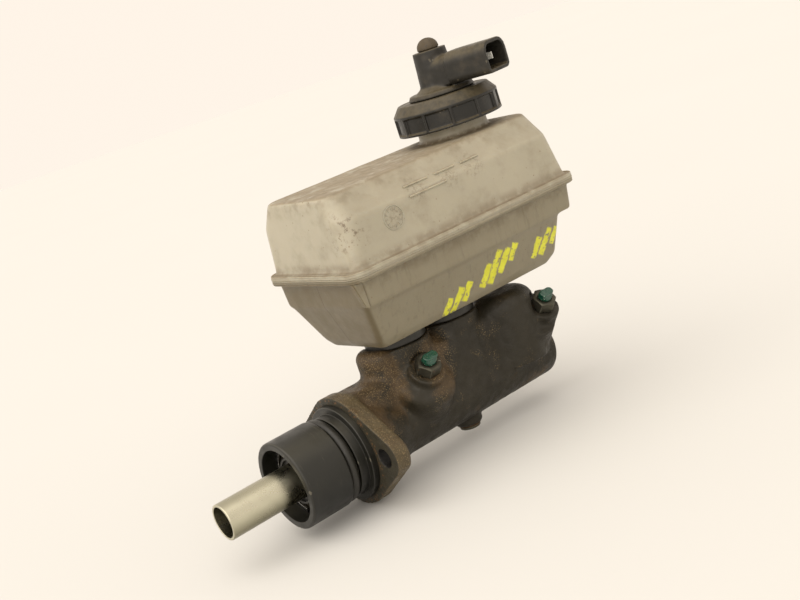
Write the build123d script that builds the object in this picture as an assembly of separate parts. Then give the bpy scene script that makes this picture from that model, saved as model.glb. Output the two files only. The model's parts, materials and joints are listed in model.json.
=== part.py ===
from build123d import *
import os
from math import cos, sin, radians

os.makedirs("parts", exist_ok=True)

# Frame: millimetres, X along the bore towards the closed end, Z up to the filler cap,
# origin on the bore axis in the flange's servo-side face.

# Working clearances
slide_gap = 0.05
seat_gap = 0.1
past = 1.0  # how far a cutting body reaches beyond the face that it cuts

# Hydraulic bore
bore_radius = 10.3
bore_end = 117.0
feed_hole_radius = 2.0
outlet_hole_radius = 1.5

# Casting
barrel_radius = 16.0
barrel_end = 125.0
tail_bore_radius = 14.5
tail_bore_depth = 22.0
shoulder_end = 27.0
lug_x = 32.3
lug_radius = 11.0
lobe_x = 105.5
lobe_y = -6.0
lobe_radius = 16.5
lobe_top = 36.3
lobe_rounding = 8.0
web_top = 31.0
web_half_width = 14.5

# Mounting flange
flange_thickness = 8.5
flange_waist_radius = 26.6
flange_rim_rounding = 2.5
ear_radius = 9.5
stud_pitch_radius = 30.0
stud_hole_radius = 4.4

# Guide sleeve
sleeve_radius = 21.0
sleeve_front = -35.0
sleeve_shoulder = -13.0
groove_end = -7.5
groove_bottom_radius = 15.6
collar_radius = 19.8
collar_end = -3.0
base_ring_radius = 23.0
base_ring_seat = 0.5
mouth_radius = 17.0
mouth_floor = -24.0
clip_groove_radius = 18.4
clip_front = -27.6
clip_back = -26.3
sleeve_tail_end = 19.5
rod_passage_radius = 9.2
o_ring_section = 2.45

# Bush, rod seal and washers in the sleeve
bush_seat_radius = 12.5
bush_nose_radius = 11.6
bush_nose_end = -29.5
bush_back = -12.0
rod_hole_radius = 8.56
seal_back = -8.1
retainer_thickness = 2.0
stop_washer_front = 19.6

# Primary piston: push tube and first piston
push_tube_radius = 8.5
push_tube_bore = 7.3
push_tube_end = -67.8
push_tube_floor = -20.0
piston_radius = 10.25
primary_back = 22.1
primary_front = 35.0
primary_rear_groove = (24.5, 28.0)
primary_cup_groove = (30.0, 33.5)
spring_guide_radius = 4.0

# Secondary piston
secondary_back = 51.5
secondary_front = 92.0
secondary_rear_groove = (52.5, 55.5)
secondary_cup_groove = (86.0, 89.5)
secondary_waist = (74.5, 84.5)
secondary_waist_radius = 8.4
secondary_stroke = 10.0
groove_radius = 7.5
seal_inner_radius = 7.52
seal_outer_radius = 10.26
lip_groove_outer = 9.5
lip_groove_inner = 8.4
lip_groove_depth = 1.6

# Springs
coil_radius = 6.4
primary_wire_radius = 0.65
secondary_wire_radius = 0.75

# Stop screw under the barrel
stop_x = 69.5
stop_pin_radius = 2.0
stop_pin_top = -4.5
stop_boss_radius = 7.0
stop_boss_bottom = -19.0
stop_thread_radius = 3.9
stop_head_radius = 5.2
stop_head_bottom = -21.0
stop_washer = (-19.6, -19.05)

# Inlets from the reservoir
inlet_positions = (44.0, 75.0)
inlet_boss_radius = 15.8
inlet_seat_radius = 11.5
inlet_seat_floor = 27.0
platform_top = 36.0
grommet_radius = 14.9
spigot_radius = 8.0
spigot_bore = 6.4
spigot_end = 28.5

# Outlet ports: both point to -Y and up
port_positions = (42.9, 119.4)
port_tilt = 50.0
port_face = 29.8
port_boss_radius = 8.8
spotface_radius = 7.8
port_thread_radius = 5.0
nut_across_flats = 11.0
nut_height = 5.5
pipe_radius = 2.375
pinched_width = 8.0
pinched_thickness = 4.2

# Reservoir
wall = 2.0
reservoir_left = 13.5
reservoir_right = 145.0
reservoir_half_width = 35.3
seam_height = 79.3
seam_plate = 2.0
seam_left = 9.5
seam_right = 149.5
seam_half_width = 38.0
seam_opening = (16.0, 142.5)
ledge_height = 64.5
knee_height = 45.5
reservoir_bottom = 41.5
divider_x = 59.0
divider_thickness = 1.6
divider_top = 68.0
shoulder_height = 103.0
reservoir_top = 115.0
reservoir_corner = 4.0
shoulder_corner = 9.5
seam_corner = 8.0

# Filler neck
neck_x = 114.0
neck_radius = 17.2
neck_bore = 15.2
neck_top = 127.0
neck_collar = 1.2
thread_heights = (122.2, 124.4)
thread_depth = 0.9

# Screw cap
cap_radius = 25.9
cap_bottom = 121.0
cap_side_top = 131.0
cap_top = 135.5
cap_top_radius = 22.4
cap_roof = 133.0
cap_window_radius = 15.5
panel_depth = 1.2
rib_count = 12
rib_width = 1.4
rib_turn = -5.0
rim_height = 1.2

# Level sensor and its plug housing
head_flange_radius = 16.6
head_flange_bottom = 128.0
head_collar_radius = 15.2
head_cover = 135.8
post_base_radius = 9.3
post_top_radius = 8.1
post_top = 157.0
dome_pocket_radius = 5.6
dome_radius = 5.25
dome_bottom = 154.0
connector_heading = -72.0
connector_start = 12.0
connector_length = 35.3
connector_width = 20.0
connector_bottom = 138.8
connector_top = 153.8
connector_wall = 1.8
connector_arch = 5.6
mouth_floor_distance = 17.0
pin_offset = 4.0
pin_thickness = 0.8
pin_tip = 30.5
pin_heights = (144.6, 147.8)

# Level float on its rod
rod_radius = 2.0
rod_bottom = 80.5
rod_foot_radius = 4.2
float_radius = 12.0
float_bottom = 82.3
float_height = 10.0


def x_rod(radius, start, end):
    """A round bar along X."""
    return Pos(start, 0, 0) * Rot(0, 90, 0) * z_rod(radius, 0, end - start)


def z_rod(radius, low, high, x=0.0, y=0.0):
    """A round bar along Z."""
    align = (Align.CENTER, Align.CENTER, Align.MIN)
    return Pos(x, y, low) * Cylinder(radius, high - low, align=align)


def x_cone(radius_a, radius_b, start, end):
    """A tapered bar along X."""
    align = (Align.CENTER, Align.CENTER, Align.MIN)
    return Pos(start, 0, 0) * Rot(0, 90, 0) * Cone(radius_a, radius_b, end - start, align=align)


def z_cone(radius_a, radius_b, low, high, x=0.0):
    """A tapered bar along Z."""
    align = (Align.CENTER, Align.CENTER, Align.MIN)
    return Pos(x, 0, low) * Cone(radius_a, radius_b, high - low, align=align)


def x_ring(outer, inner, start, end):
    """A flat ring round the bore axis."""
    return x_rod(outer, start, end) - x_rod(inner, start - past, end + past)


def block(x0, x1, y0, y1, z0, z1):
    """A box given by its limits."""
    size = (x1 - x0, y1 - y0, z1 - z0)
    return Pos((x0 + x1) / 2, (y0 + y1) / 2, (z0 + z1) / 2) * Box(*size)


def port_frame(x):
    """A frame on the bore axis whose Z runs out along the outlet port."""
    tilt = radians(port_tilt)
    return Plane(origin=(x, 0, 0), x_dir=(1, 0, 0), z_dir=(0, -cos(tilt), sin(tilt)))


def port_rod(x, radius, low, high):
    """A round bar along the outlet port's direction."""
    return port_frame(x) * z_rod(radius, low, high)


def rounded_plate(x0, x1, half_width, corner, z):
    """A rounded rectangle lying at height z."""
    outline = RectangleRounded(x1 - x0, 2 * half_width, corner)
    return Plane.XY.offset(z) * Pos((x0 + x1) / 2, 0) * outline


def round_top(shape, radius):
    """Rounds the highest edge of a shape."""
    return fillet(shape.edges().sort_by(Axis.Z)[-1], radius)


def coil(start, end, wire, turns):
    """A compression spring along X between two faces."""
    gap = wire + 0.15
    length = end - start - 2 * gap
    path = Helix(pitch=length / turns, height=length, radius=coil_radius)
    section = Plane(origin=path @ 0, z_dir=path % 0) * Circle(wire)
    return Pos(start + gap, 0, 0) * Rot(0, 90, 0) * sweep(section, path=path, is_frenet=True)


def save(shape, name):
    export_step(shape, "parts/" + name + ".step")


# ---- casting ---------------------------------------------------------------------------------

def flange():
    """Two-eared flange plate with rounded back edges."""
    waist = Circle(flange_waist_radius)
    ears = [Pos(side * stud_pitch_radius, 0) * Circle(ear_radius) for side in (-1, 1)]
    outline = make_hull((waist + ears[0] + ears[1]).edges())
    plate = extrude(Plane.YZ * outline, flange_thickness)
    back = plate.edges().filter_by_position(Axis.X, flange_thickness - 0.1, flange_thickness + 0.1)
    return fillet(back, flange_rim_rounding)


def barrel():
    """Barrel with its rounded closed end and the swelling behind the flange."""
    tube = x_rod(barrel_radius, 0, barrel_end)
    tube = fillet(tube.edges().sort_by(Axis.X)[-1], 4.0)
    tube += x_cone(23.5, barrel_radius, flange_thickness - 0.5, shoulder_end)
    hump = block(2, 30, -12, 12, 0, 25)
    return tube + fillet(hump.edges().filter_by(Axis.X).sort_by(Axis.Z)[-2:], 7)


def inlet_platform():
    """Two bosses that carry the reservoir, the lug before them and the web that joins them."""
    platform = round_top(z_rod(lug_radius, 0, platform_top + 1.5, lug_x), 4)
    for x in inlet_positions:
        platform += z_rod(inlet_boss_radius, 0, platform_top, x)
    web = block(inlet_positions[0], lobe_x, -web_half_width, web_half_width, 0, web_top)
    return platform + fillet(web.edges().filter_by(Axis.X).sort_by(Axis.Z)[-2:], 7)


def outlet_bosses():
    """Bosses of both outlet ports, with wider bases that run into the barrel."""
    rear, front = port_positions
    bosses = port_rod(rear, port_boss_radius, 6, port_face)
    bosses += round_top(port_rod(rear, 15, 4, 25), 5)
    bosses += port_rod(front, port_boss_radius, 4, port_face)
    return bosses + port_rod(front - 6, port_boss_radius + 3.5, 4, 24)


def casting_outside():
    """Everything the casting is before its holes are bored."""
    body = flange() + barrel() + inlet_platform()
    body += round_top(z_rod(lobe_radius, 0, lobe_top, lobe_x, lobe_y), lobe_rounding)
    body += outlet_bosses()
    boss = z_rod(stop_boss_radius, stop_boss_bottom, -8, stop_x)
    return body + fillet(boss.edges().sort_by(Axis.Z)[0], 1.5)


def cylinder_body():
    body = casting_outside()
    body -= x_rod(tail_bore_radius, -past, tail_bore_depth)
    body -= x_rod(base_ring_radius + slide_gap, -past, base_ring_seat)
    body -= x_rod(bore_radius, 0, bore_end)
    for side in (-1, 1):
        ear = Pos(0, side * stud_pitch_radius, 0)
        body -= ear * x_rod(stud_hole_radius, -past, 30)
        body -= ear * x_rod(ear_radius - 0.5, flange_thickness, 30)
    for x in inlet_positions:
        body -= z_rod(inlet_seat_radius, inlet_seat_floor, platform_top + 8, x)
        body -= z_rod(grommet_radius + 0.4, platform_top, platform_top + 8, x)
        body -= z_rod(feed_hole_radius, 5, inlet_seat_floor + past, x)
    for x in port_positions:
        body -= port_rod(x, port_thread_radius, 16, port_face + 10)
        body -= port_rod(x, spotface_radius, port_face, port_face + 12)
        body -= port_rod(x, outlet_hole_radius, 8, 18)
    body -= z_rod(stop_thread_radius + seat_gap, -22, -12, stop_x)
    body -= z_rod(stop_pin_radius + slide_gap, -14, -5, stop_x)
    return body


# ---- sleeve end ------------------------------------------------------------------------------

def guide_sleeve():
    """Spigot that centres the cylinder in the servo and guides the push tube."""
    front = x_rod(sleeve_radius, sleeve_front, sleeve_shoulder)
    sleeve = chamfer(front.edges().sort_by(Axis.X)[0], 0.8)
    sleeve += x_rod(groove_bottom_radius, sleeve_shoulder, groove_end)
    sleeve += x_rod(collar_radius, groove_end, collar_end)
    sleeve += x_rod(base_ring_radius, collar_end, base_ring_seat - 0.02)
    sleeve += x_rod(tail_bore_radius - slide_gap, 0, sleeve_tail_end)
    sleeve -= x_rod(mouth_radius, sleeve_front - past, mouth_floor)
    sleeve -= x_rod(clip_groove_radius, clip_front - seat_gap, clip_back + seat_gap)
    sleeve -= x_rod(bush_seat_radius, mouth_floor - past, seal_back + seat_gap)
    return sleeve - x_rod(rod_passage_radius, -10, sleeve_tail_end + past)


def servo_o_ring():
    """Ring that fills the sleeve's groove."""
    middle = (sleeve_shoulder + groove_end) / 2
    spine = groove_bottom_radius + slide_gap + o_ring_section
    return Pos(middle, 0, 0) * Rot(0, 90, 0) * Torus(spine, o_ring_section)


def guide_bush():
    """Plastic bush whose nose shows round the push tube."""
    bush = x_rod(bush_seat_radius - slide_gap, mouth_floor + seat_gap, bush_back)
    bush += x_rod(bush_nose_radius, bush_nose_end, mouth_floor + seat_gap)
    bush -= x_rod(rod_hole_radius, bush_nose_end - past, bush_back + past)
    return bush - x_rod(rod_hole_radius + 1.64, bush_nose_end - past, bush_nose_end + 1.5)


def rod_seal():
    """Seal behind the bush, hollowed towards it."""
    seal = x_ring(bush_seat_radius - slide_gap, rod_hole_radius, bush_back + seat_gap, seal_back)
    return seal - x_ring(bush_seat_radius - 1.1, rod_hole_radius + 1, bush_back - past, bush_back + 2)


def sleeve_circlip():
    """Wire ring sprung into the sleeve's groove, with a gap."""
    ring = x_ring(clip_groove_radius - seat_gap, 15.4, clip_front, clip_back)
    return ring - block(clip_front - past, clip_back + past, -3, 3, -clip_groove_radius - past, 0)


def retainer_washer():
    front = mouth_floor - seat_gap - retainer_thickness
    return x_ring(mouth_radius - seat_gap, bush_nose_radius + 0.2, front, front + retainer_thickness)


def piston_stop_washer():
    back = tail_bore_depth - seat_gap
    return x_ring(tail_bore_radius - seat_gap, push_tube_radius + 0.4, stop_washer_front, back)


# ---- pistons ---------------------------------------------------------------------------------

def groove(start, end, radius):
    """The ring of metal that a groove takes away."""
    return x_rod(2 * piston_radius, start, end) - x_rod(radius, start, end)


def primary_piston():
    """Hollow push tube and the first piston in one piece."""
    tube = x_rod(push_tube_radius, push_tube_end, primary_back + past)
    piston = chamfer(tube.edges().sort_by(Axis.X)[0], 0.3)
    piston += x_rod(piston_radius, primary_back, primary_front)
    piston += x_rod(spring_guide_radius, primary_front, primary_front + 2)
    piston -= x_rod(push_tube_bore, push_tube_end - past, push_tube_floor)
    piston -= x_cone(push_tube_bore, 1.5, push_tube_floor, push_tube_floor + 5)
    for start, end in (primary_rear_groove, primary_cup_groove):
        piston -= groove(start, end, groove_radius)
    return piston


def piston_seal(start, end, open_end):
    """Lip seal filling one groove, hollowed on its pressure side."""
    seal = x_ring(seal_outer_radius, seal_inner_radius, start + slide_gap, end - slide_gap)
    if open_end > 0:
        return seal - x_ring(lip_groove_outer, lip_groove_inner, end - lip_groove_depth, end + past)
    return seal - x_ring(lip_groove_outer, lip_groove_inner, start - past, start + lip_groove_depth)


def secondary_piston():
    """Floating piston with the slot that the stop screw's tip runs in."""
    piston = x_rod(piston_radius, secondary_back, secondary_front)
    piston += x_rod(spring_guide_radius, secondary_front, secondary_front + 4)
    for start, end in (secondary_rear_groove, secondary_cup_groove):
        piston -= groove(start, end, groove_radius)
    piston -= groove(*secondary_waist, secondary_waist_radius)
    slot_front = stop_x + stop_pin_radius + 0.2
    slot_back = stop_x - stop_pin_radius - secondary_stroke - 0.5
    half_slot = stop_pin_radius + 0.25
    return piston - block(slot_back, slot_front, -half_slot, half_slot, -12, stop_pin_top + past)


def stop_screw():
    """Screw whose tip stops the floating piston."""
    screw = z_rod(stop_thread_radius, stop_washer[0] - 0.2, -12.2, stop_x)
    screw += z_rod(stop_pin_radius, -12.5, stop_pin_top, stop_x)
    screw += z_rod(stop_head_radius, stop_head_bottom, stop_washer[0] - slide_gap, stop_x)
    socket = RegularPolygon(2.0, 6, major_radius=False)
    return screw - Pos(stop_x, 0, stop_head_bottom - past) * extrude(socket, 4.5)


def stop_screw_washer():
    washer = z_rod(stop_head_radius + 0.4, *stop_washer, stop_x)
    return washer - z_rod(stop_thread_radius + slide_gap, -22, -18, stop_x)


# ---- outlets ---------------------------------------------------------------------------------

def union_nut(x, turn):
    """Hexagon union nut screwed down on its pipe, turned by an angle."""
    hexagon = RegularPolygon(nut_across_flats / 2, 6, major_radius=False)
    head = extrude(hexagon, nut_height)
    crown_top = nut_across_flats / 2 - 0.2
    crown = z_cone(crown_top + 1.7 * nut_height, crown_top, 0, nut_height)
    nut = Pos(0, 0, port_face + seat_gap) * (head & crown)
    nut += z_rod(port_thread_radius - slide_gap, port_face - 9, port_face + past)
    nut -= z_rod(pipe_radius + slide_gap, port_face - 20, port_face + 20)
    return port_frame(x) * Rot(0, 0, turn) * nut


def brake_pipe(x):
    """Cut pipe stub, flared inside the port and pinched flat outside."""
    nut_top = port_face + seat_gap + nut_height
    pipe = z_rod(pipe_radius, port_face - 11, nut_top + 0.3)
    pipe += z_cone(3.6, pipe_radius, port_face - 12, port_face - 9.6)
    round_end = Plane.XY.offset(nut_top + 0.1) * RectangleRounded(7.2, 6.6, 3.2)
    pinched = RectangleRounded(pinched_width, pinched_thickness, pinched_thickness / 2 - 0.2)
    flat_end = Plane.XY.offset(nut_top + 3.0) * pinched
    pipe += loft([round_end, flat_end])
    pipe += extrude(flat_end, 0.9)
    return port_frame(x) * pipe


# ---- reservoir -------------------------------------------------------------------------------

def lower_zone(inset, floor):
    """Tapered lower part of the reservoir."""
    corner = reservoir_corner
    sections = [
        rounded_plate(14.5 + inset, 136 - inset, 33.2 - inset, corner, ledge_height),
        rounded_plate(21 + inset, 134.5 - inset, 24.8 - inset, corner, knee_height),
        rounded_plate(23.5 + inset, 130 - inset, 21.8 - inset, corner, floor),
    ]
    return loft(sections, ruled=True)


def middle_zone(inset, low, high):
    """Upper part of the lower half, just under the seam."""
    left = reservoir_left + inset
    right = reservoir_right - inset
    half = reservoir_half_width - inset
    sections = [
        rounded_plate(left + 0.5, right - 1.5, half - 0.7, reservoir_corner, low),
        rounded_plate(left, right, half, reservoir_corner, high),
    ]
    return loft(sections, ruled=True)


def upper_zone(inset, low, top):
    """Upper part of the reservoir with its long chamfers."""
    left = reservoir_left + inset
    right = reservoir_right - inset
    half = reservoir_half_width - inset
    sections = [
        rounded_plate(left, right, half, reservoir_corner, low),
        rounded_plate(left, right - 2.2, half - 0.2, shoulder_corner - inset, shoulder_height),
        rounded_plate(left + 0.5, right - 4, half - 9.1, shoulder_corner - inset, top),
    ]
    return loft(sections, ruled=True)


def seam_plate_at(z):
    """Half of the welding flange."""
    outline = rounded_plate(seam_left, seam_right, seam_half_width, seam_corner, z)
    return extrude(outline, seam_plate)


def seam_window(z):
    """Opening between the two halves."""
    return rounded_plate(*seam_opening, reservoir_half_width - wall, reservoir_corner - 1, z)


def reservoir_lower():
    """Lower moulding with its welding flange, divider and two inlet spigots."""
    plate_low = seam_height - seam_plate
    shell = lower_zone(0, reservoir_bottom) + middle_zone(0, ledge_height, plate_low)
    shell += seam_plate_at(plate_low)
    shell -= lower_zone(wall, reservoir_bottom + wall)
    shell -= middle_zone(wall, ledge_height - 0.01, plate_low + 0.01)
    shell -= extrude(seam_window(plate_low - 0.01), 10)
    divider_end = divider_x + divider_thickness
    divider = block(divider_x, divider_end, -34, 34, reservoir_bottom + past, divider_top)
    inside = lower_zone(0.5, reservoir_bottom + 0.5) + middle_zone(0.5, ledge_height, 76)
    shell += divider & inside
    for x in inlet_positions:
        shell += z_rod(spigot_radius, spigot_end, reservoir_bottom + past, x)
        shell -= z_rod(spigot_bore, spigot_end - past, reservoir_bottom + 5, x)
    return shell


def reservoir_upper():
    """Upper moulding with its welding flange and filler neck."""
    plate_high = seam_height + seam_plate
    shell = seam_plate_at(seam_height) + upper_zone(0, plate_high, reservoir_top)
    shell += z_rod(neck_radius, reservoir_top - 6, neck_top, neck_x)
    foot = reservoir_top - 0.5
    shell += z_cone(neck_radius + neck_collar, neck_radius, foot, foot + 2.3, neck_x)
    for z in thread_heights:
        shell += z_rod(neck_radius + thread_depth, z, z + 1.0, neck_x)
    shell -= upper_zone(wall, plate_high - 0.01, reservoir_top - wall)
    shell -= extrude(seam_window(seam_height - past), seam_plate + 1.5)
    return shell - z_rod(neck_bore, reservoir_top - 10, neck_top + past, neck_x)


def inlet_grommet(x):
    """Rubber bush that seals a reservoir spigot in its inlet."""
    grommet = z_rod(inlet_seat_radius - slide_gap, inlet_seat_floor + 1, platform_top + 0.1, x)
    grommet += z_rod(grommet_radius, platform_top + slide_gap, reservoir_bottom - seat_gap, x)
    return grommet - z_rod(spigot_radius + slide_gap, 20, 50, x)


# ---- cap and level sensor --------------------------------------------------------------------

def cap_ring():
    """Ribbed screw ring that clamps the sensor on the filler neck."""
    ring = z_rod(cap_radius - panel_depth, cap_bottom, cap_side_top, neck_x)
    for low in (cap_bottom, cap_side_top - rim_height):
        ring += z_rod(cap_radius, low, low + rim_height, neck_x)
    ring += z_cone(cap_radius, cap_top_radius, cap_side_top, cap_top, neck_x)
    half_rib = rib_width / 2
    for i in range(rib_count):
        rib = block(cap_radius - 3, cap_radius, -half_rib, half_rib, cap_bottom, cap_side_top)
        ring += Pos(neck_x, 0, 0) * Rot(0, 0, rib_turn + i * 360 / rib_count) * rib
    ring &= z_rod(cap_radius, cap_bottom, cap_top, neck_x)
    ring -= z_rod(neck_radius + neck_collar, cap_bottom - past, cap_roof, neck_x)
    return ring - z_rod(cap_window_radius, cap_roof - 3, cap_top + past, neck_x)


def cap_gasket():
    gasket = z_rod(neck_radius - 0.2, neck_top + slide_gap, head_flange_bottom - slide_gap, neck_x)
    return gasket - z_rod(neck_bore - 2, neck_top - past, head_flange_bottom + past, neck_x)


def at_connector(shape):
    """Moves a shape drawn along X to the plug housing's heading."""
    return Pos(neck_x, 0, 0) * Rot(0, 0, connector_heading) * shape


def connector_shell():
    """Plug housing on the side of the sensor post, arched on top, before its mouth is cut."""
    half = connector_width / 2
    shell = block(connector_start, connector_length, -half, half, connector_bottom, connector_top)
    shell = fillet(shell.edges().filter_by(Axis.X).sort_by(Axis.Z)[-2:], connector_arch)
    shell = fillet(shell.edges().filter_by(Axis.X).sort_by(Axis.Z)[:2], 3.0)
    neck = block(0, connector_start + 1, -8.4, 8.4, connector_bottom + 0.4, connector_top - 1.0)
    return shell + fillet(neck.edges().filter_by(Axis.X).sort_by(Axis.Z)[-2:], 5.0)


def connector_mouth():
    """Hollow of the plug housing."""
    half = connector_width / 2 - connector_wall
    low = connector_bottom + connector_wall
    high = connector_top - connector_wall
    mouth = block(mouth_floor_distance, connector_length + past, -half, half, low, high)
    mouth = fillet(mouth.edges().filter_by(Axis.X).sort_by(Axis.Z)[-2:], connector_arch - connector_wall)
    return fillet(mouth.edges().filter_by(Axis.X).sort_by(Axis.Z)[:2], 1.2)


def sensor_body():
    """Sensor head: clamped flange, post with the test dome's pocket, plug housing."""
    head = z_rod(head_flange_radius, head_flange_bottom, cap_roof - 0.2, neck_x)
    head += z_rod(head_collar_radius, cap_roof - 0.5, head_cover + 0.2, neck_x)
    head += z_cone(head_flange_radius, head_flange_radius - 1.2, head_cover, head_cover + 2.4, neck_x)
    head += z_cone(post_base_radius + 3.4, post_base_radius, head_cover + 2.3, head_cover + 4.4, neck_x)
    head += z_cone(post_base_radius, post_top_radius, head_cover + 2.2, post_top, neck_x)
    head += at_connector(connector_shell())
    head -= at_connector(connector_mouth())
    head -= z_rod(dome_pocket_radius, dome_bottom - 2.5, post_top + past, neck_x)
    head -= z_rod(rod_radius + slide_gap, 120, 131, neck_x)
    low, high = pin_heights
    half_slot = pin_thickness / 2 + slide_gap
    for side in (-pin_offset, pin_offset):
        slot = block(connector_start, mouth_floor_distance + past, side - half_slot, side + half_slot,
                     low - slide_gap, high + slide_gap)
        head -= at_connector(slot)
    return head


def test_dome():
    """Soft push button on top of the sensor post."""
    skirt_top = post_top + 1.2
    dome = z_rod(dome_radius, dome_bottom, skirt_top, neck_x)
    half_ball = Sphere(dome_radius) & block(-6, 6, -6, 6, 0, 6)
    dome += Pos(neck_x, 0, skirt_top - 0.1) * scale(half_ball, (1, 1, 0.9))
    dome -= z_rod(dome_pocket_radius, skirt_top - 1.6, skirt_top - 0.8, neck_x)
    return dome + z_rod(dome_radius - 0.65, skirt_top - 2, skirt_top, neck_x)


def connector_pins():
    pins = []
    half_pin = pin_thickness / 2
    for side in (-pin_offset, pin_offset):
        pin = block(connector_start + 0.1, pin_tip, side - half_pin, side + half_pin, *pin_heights)
        pins.append(at_connector(pin))
    return Compound(children=pins)


def float_rod():
    """Rod under the sensor that the float slides on."""
    rod = z_rod(rod_radius, rod_bottom + 1.5, 130.9, neck_x)
    return rod + z_rod(rod_foot_radius, rod_bottom, rod_bottom + 1.5, neck_x)


def level_float():
    ring = z_rod(float_radius, float_bottom, float_bottom + float_height, neck_x)
    ring = fillet(ring.edges(), 1.2)
    return ring - z_rod(rod_radius + 0.06, float_bottom - 2, float_bottom + float_height + 2, neck_x)


# ---- build and write -------------------------------------------------------------------------

save(cylinder_body(), "cylinder_body")
save(guide_sleeve(), "guide_sleeve")
save(servo_o_ring(), "servo_o_ring")
save(guide_bush(), "guide_bush")
save(rod_seal(), "rod_seal")
save(sleeve_circlip(), "sleeve_circlip")
save(retainer_washer(), "retainer_washer")
save(piston_stop_washer(), "piston_stop_washer")
save(primary_piston(), "primary_piston")
save(piston_seal(*primary_rear_groove, -1), "primary_rear_seal")
save(piston_seal(*primary_cup_groove, 1), "primary_cup")
save(coil(primary_front, secondary_back, primary_wire_radius, 4.5), "primary_spring")
save(secondary_piston(), "secondary_piston")
save(piston_seal(*secondary_rear_groove, -1), "secondary_rear_cup")
save(piston_seal(*secondary_cup_groove, 1), "secondary_front_cup")
save(coil(secondary_front, bore_end, secondary_wire_radius, 7), "secondary_spring")
save(stop_screw(), "stop_screw")
save(stop_screw_washer(), "stop_screw_washer")
save(reservoir_lower(), "reservoir_lower")
save(reservoir_upper(), "reservoir_upper")
save(cap_ring(), "cap_ring")
save(cap_gasket(), "cap_gasket")
save(sensor_body(), "sensor_body")
save(test_dome(), "test_dome")
save(connector_pins(), "connector_pins")
save(float_rod(), "float_rod")
save(level_float(), "level_float")
for place, x, turn in (("front", port_positions[1], 4), ("rear", port_positions[0], 32)):
    save(union_nut(x, turn), "union_nut_" + place)
    save(brake_pipe(x), "brake_pipe_" + place)
for place, x in zip(("front", "rear"), (inlet_positions[1], inlet_positions[0])):
    save(inlet_grommet(x), "inlet_grommet_" + place)
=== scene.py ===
import json
from math import cos, pi, radians, sin

import bmesh
import bpy
import numpy as np
from mathutils import Matrix, Vector, noise


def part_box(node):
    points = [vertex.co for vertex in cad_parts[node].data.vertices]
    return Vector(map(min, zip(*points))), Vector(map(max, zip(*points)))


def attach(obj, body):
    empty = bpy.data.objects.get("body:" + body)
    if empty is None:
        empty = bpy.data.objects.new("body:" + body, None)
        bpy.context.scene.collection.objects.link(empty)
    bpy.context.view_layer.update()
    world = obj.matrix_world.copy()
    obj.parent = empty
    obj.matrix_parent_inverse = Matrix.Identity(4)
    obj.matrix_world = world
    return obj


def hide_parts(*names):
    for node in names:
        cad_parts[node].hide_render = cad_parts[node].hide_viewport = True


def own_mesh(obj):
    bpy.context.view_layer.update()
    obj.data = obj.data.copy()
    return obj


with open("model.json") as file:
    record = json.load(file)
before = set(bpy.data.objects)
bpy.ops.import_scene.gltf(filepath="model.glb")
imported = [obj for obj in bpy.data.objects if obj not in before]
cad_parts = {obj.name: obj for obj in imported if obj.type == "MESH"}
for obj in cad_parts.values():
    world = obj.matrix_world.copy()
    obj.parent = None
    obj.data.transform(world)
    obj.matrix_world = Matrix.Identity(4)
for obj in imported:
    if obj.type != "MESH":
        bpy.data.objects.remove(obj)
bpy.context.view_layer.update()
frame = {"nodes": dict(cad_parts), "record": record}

# The meshes are worked on in millimetres and written back in metres.
MM = 0.001


def span(node):
    """A CAD node's lowest and highest corner in millimetres."""
    low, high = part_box(node)
    return low / MM, high / MM


# ---- places in millimetres, from the frame where it gives them -------------------------------

sleeve_low, sleeve_high = span("guide_sleeve")
bush_low, bush_high = span("guide_bush")
plate_low, plate_high = span("retainer_washer")
tube_low, tube_high = span("primary_piston")
casting_low, _ = span("cylinder_body")
lower_low, lower_high = span("reservoir_lower")
upper_low, _ = span("reservoir_upper")
cap_low, cap_high = span("cap_ring")
bush_foot, bush_top = (corner.z for corner in span("inlet_grommet_rear"))

# Guide sleeve, from its open end towards the flange.
sleeve_front = sleeve_low.x
sleeve_shoulder = -13.0
groove_end = -7.5
collar_end = -3.0
base_ring_seat = 0.45
tail_end = sleeve_high.x - 0.1
sleeve_radius = 21.0
groove_radius = 15.6
collar_radius = 19.8
base_radius = sleeve_high.y
tail_radius = 14.4
mouth_radius = 17.0
bush_seat = (-24.0, -8.0)
bush_seat_radius = 12.5
rod_hole_radius = 9.2
clip_groove = (-27.7, -26.2)
clip_groove_radius = 18.4
ring_section = 2.45

# Push tube, first piston and return springs.
tube_front = tube_low.x
tube_radius = 8.5
tube_bore = 7.3
tube_floor = -15.0
piston_radius = 10.25
piston_back = 22.1
seal_grooves = ((24.5, 28.0), (30.0, 33.5))
seal_groove_radius = 7.5
nose_start = 35.0
nose_end = tube_high.x
nose_radius = 4.0
primary_spring_ends = (35.0, 51.5)
secondary_spring_ends = (92.0, 117.0)
coil_radius = 6.4

# Casting, outlets and inlets.
ear_offset = 30.0
stud_hole_radius = 4.4
port_tilt = radians(50)
inlet_positions = {"rear": 44.0, "front": 75.0}
port_positions = {"rear": 42.9, "front": 119.4}
port_face = 29.8
nut_turns = {"rear": 32, "front": 4}
nut_height = 5.5
nut_across_flats = 11.0

# Reservoir and cap.
neck_x = (cap_low.x + cap_high.x) / 2
seam_z = (lower_high.z + upper_low.z) / 2
seam_corner = 8.0
shoulder_z = 103.0
upper_top = 115.0
mark_height = 0.05  # how far a mark's middle stands off the wall


# ---- dense meshes that can be smoothed and pushed --------------------------------------------

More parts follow.
